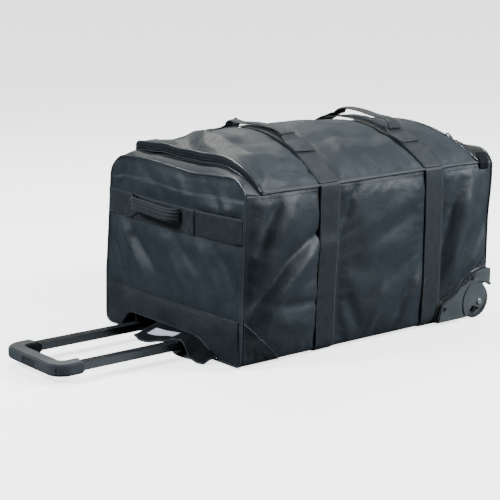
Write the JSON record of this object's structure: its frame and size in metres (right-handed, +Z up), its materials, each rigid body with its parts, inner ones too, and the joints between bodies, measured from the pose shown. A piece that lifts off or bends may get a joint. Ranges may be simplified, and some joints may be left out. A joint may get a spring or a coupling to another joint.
{
  "type": "wheeled duffel bag",
  "caption": "Soft wheeled duffel bag with a zipped arched lid, webbing carry handles, an end grab handle and a telescoping trolley handle drawn out at floor level.",
  "frame": {"origin": "on the ground under the middle of the bag body, on the middle of the ground faces of the skid runners' middle bar plane", "axes": "+X towards the wheel end, -Y the long side with the lid's hinge seam, +Z up"},
  "size_m": [0.979, 0.4852, 0.4375],
  "materials": {
    "shell_fabric": "matte",
    "trim_fabric": "matte",
    "piping": "satin",
    "webbing": "matte",
    "zip_tape": "matte",
    "slider_metal": "satin",
    "label": "matte",
    "board": "matte",
    "black_plastic": "matte",
    "grey_plastic": "satin",
    "tube_aluminium": "polished",
    "steel": "satin",
    "bush_brass": "satin",
    "tyre": "matte"
  },
  "bodies": {
    "bag": {"side_near": "shell_fabric", "side_far": "shell_fabric", "end_panel_handle": "shell_fabric", "end_panel_wheel": "shell_fabric", "lower_band": "trim_fabric", "bottom_panel": "trim_fabric", "base_board": "board", "rim_gusset": "shell_fabric", "piping_handle": "piping", "piping_wheel": "piping", "corner_patches": "trim_fabric", "wheel_patches": "trim_fabric", "zip_tabs": "trim_fabric", "zip_body": "zip_tape", "side_straps_near": "webbing", "side_straps_far": "webbing", "end_band": "webbing", "grab_feet": "webbing", "trolley_tray": "black_plastic", "guide_tube_near": "tube_aluminium", "guide_tube_far": "tube_aluminium", "guide_bracket": "black_plastic", "wheel_housing_near": "grey_plastic", "wheel_housing_far": "grey_plastic", "axle_near": "steel", "axle_far": "steel", "housing_screws": "steel", "skid_runners": "black_plastic"},
    "lid": {"lid_panel": "shell_fabric", "storm_flap_handle": "trim_fabric", "storm_flap_wheel": "trim_fabric", "storm_flap_far": "trim_fabric", "zip_lid": "zip_tape", "lid_strap_l": "webbing", "lid_strap_r": "webbing", "handle_feet": "webbing"},
    "carry_l": {"carry_handle_l": "webbing"},
    "carry_r": {"carry_handle_r": "webbing"},
    "slider_a": {"zip_slider_a": "slider_metal"},
    "slider_b": {"zip_slider_b": "slider_metal"},
    "pull_a": {"zip_pull_a": "slider_metal"},
    "pull_b": {"zip_pull_b": "slider_metal"},
    "grab": {"grab_handle": "webbing"},
    "flap": {"pocket_flap": "trim_fabric", "label_patch": "label"},
    "trolley": {"inner_tube_near": "tube_aluminium", "inner_tube_far": "tube_aluminium", "grip_front": "grey_plastic", "grip_back": "grey_plastic"},
    "button": {"release_button": "grey_plastic", "push_rods": "steel"},
    "pin_near": {"lock_pin_near": "steel"},
    "pin_far": {"lock_pin_far": "steel"},
    "wheel_near": {"tyre_near": "tyre", "hub_near": "black_plastic", "bearing_near": "bush_brass"},
    "wheel_far": {"tyre_far": "tyre", "hub_far": "black_plastic", "bearing_far": "bush_brass"}
  },
  "joints": [
    {"name": "lid_hinge", "type": "hinge", "parent": "bag", "child": "lid", "pos_m": [0, -0.225, 0.33], "axis": [1, 0, 0], "range_deg": [0, 100]},
    {"name": "carry_handle_l_swing", "type": "hinge", "parent": "lid", "child": "carry_l", "pos_m": [-0.116, 0, 0.40654], "axis": [0, 1, 0], "range_deg": [-30, 30]},
    {"name": "carry_handle_r_swing", "type": "hinge", "parent": "lid", "child": "carry_r", "pos_m": [0.162, 0, 0.40003], "axis": [0, 1, 0], "range_deg": [-30, 30]},
    {"name": "zip_slider_a_run", "type": "hinge", "parent": "lid", "child": "slider_a", "pos_m": [0.298, 0, -0.02227], "axis": [1, 0, 0], "range_deg": [-38, 0]},
    {"name": "zip_slider_b_run", "type": "hinge", "parent": "lid", "child": "slider_b", "pos_m": [0.298, 0, -0.02227], "axis": [1, 0, 0], "range_deg": [0, 2.5]},
    {"name": "zip_pull_a_swing", "type": "hinge", "parent": "slider_a", "child": "pull_a", "pos_m": [0.298, -0.14245, 0.37122], "axis": [1, 0, 0], "range_deg": [-14, 116]},
    {"name": "zip_pull_b_swing", "type": "hinge", "parent": "slider_b", "child": "pull_b", "pos_m": [0.298, -0.16109, 0.36397], "axis": [-1, 0, 0], "range_deg": [-14, 116]},
    {"name": "grab_handle_swing", "type": "hinge", "parent": "bag", "child": "grab", "pos_m": [-0.338, 0.02, 0.2695], "axis": [0, 1, 0], "range_deg": [-25, 25]},
    {"name": "pocket_flap_lift", "type": "hinge", "parent": "bag", "child": "flap", "pos_m": [-0.3285, 0, 0.0443], "axis": [0, 1, 0], "range_deg": [0, 75]},
    {"name": "trolley_slide", "type": "slide", "parent": "bag", "child": "trolley", "axis": [-1, 0, 0], "range_m": [-0.308, 0.095]},
    {"name": "release_button_press", "type": "slide", "parent": "trolley", "child": "button", "axis": [1, 0, 0], "range_m": [0, 0.0035]},
    {"name": "lock_pin_near_retract", "type": "slide", "parent": "trolley", "child": "pin_near", "axis": [0, 1, 0], "range_m": [0, 0.002]},
    {"name": "lock_pin_far_retract", "type": "slide", "parent": "trolley", "child": "pin_far", "axis": [0, -1, 0], "range_m": [0, 0.002]},
    {"name": "wheel_near_spin", "type": "hinge", "parent": "bag", "child": "wheel_near", "pos_m": [0.296, -0.221, 0.038], "axis": [0, 1, 0], "continuous": true},
    {"name": "wheel_far_spin", "type": "hinge", "parent": "bag", "child": "wheel_far", "pos_m": [0.296, 0.221, 0.038], "axis": [0, 1, 0], "continuous": true}
  ],
  "couplings": [
    {"joint": "lock_pin_near_retract", "follows": "release_button_press", "ratio": 0.5714},
    {"joint": "lock_pin_far_retract", "follows": "release_button_press", "ratio": 0.5714}
  ]
}
